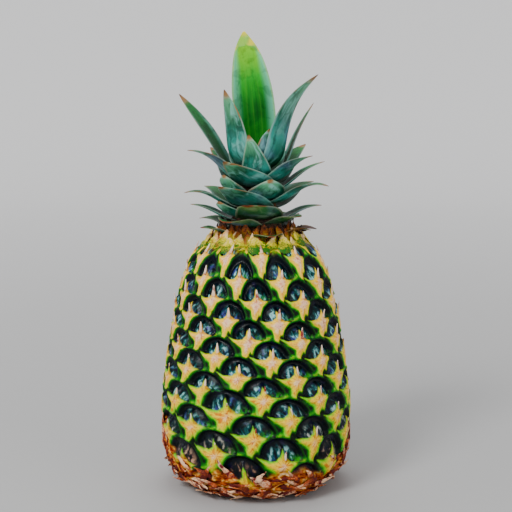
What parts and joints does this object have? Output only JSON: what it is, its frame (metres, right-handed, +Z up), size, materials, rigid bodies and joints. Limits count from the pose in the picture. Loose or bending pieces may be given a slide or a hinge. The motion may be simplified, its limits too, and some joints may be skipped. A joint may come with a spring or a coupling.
{
  "type": "pineapple",
  "caption": "Whole fresh pineapple standing on its base: barrel fruit with spiralling eyes and a crown of stiff channelled leaves on a short stem.",
  "frame": {"origin": "centre of the small flat spot that the fruit stands on", "axes": "+Z up along the plant's own axis, -Y the side seen first, +X to its right"},
  "size_m": [0.125, 0.125, 0.2945],
  "materials": {
    "rind": "satin",
    "stem": "matte",
    "leaf": "satin"
  },
  "bodies": {
    "root": {"fruit_body": "rind", "crown_stem": "stem", "crown_leaf_01": "leaf", "crown_leaf_02": "leaf", "crown_leaf_03": "leaf", "crown_leaf_04": "leaf", "crown_leaf_05": "leaf", "crown_leaf_06": "leaf", "crown_leaf_07": "leaf", "crown_leaf_08": "leaf", "crown_leaf_09": "leaf", "crown_leaf_10": "leaf", "crown_leaf_11": "leaf", "crown_leaf_12": "leaf", "crown_leaf_13": "leaf", "crown_leaf_14": "leaf", "crown_leaf_15": "leaf", "crown_leaf_16": "leaf", "crown_leaf_17": "leaf", "crown_leaf_18": "leaf", "crown_leaf_19": "leaf", "crown_leaf_20": "leaf", "crown_leaf_21": "leaf", "crown_leaf_22": "leaf", "crown_leaf_23": "leaf", "crown_leaf_24": "leaf", "crown_leaf_25": "leaf", "crown_leaf_26": "leaf", "crown_leaf_27": "leaf", "crown_leaf_28": "leaf", "crown_leaf_29": "leaf", "crown_leaf_30": "leaf", "crown_leaf_31": "leaf", "crown_leaf_32": "leaf", "crown_leaf_33": "leaf", "crown_leaf_34": "leaf", "crown_leaf_35": "leaf", "crown_leaf_36": "leaf", "crown_leaf_37": "leaf", "crown_leaf_38": "leaf"}
  },
  "joints": []
}
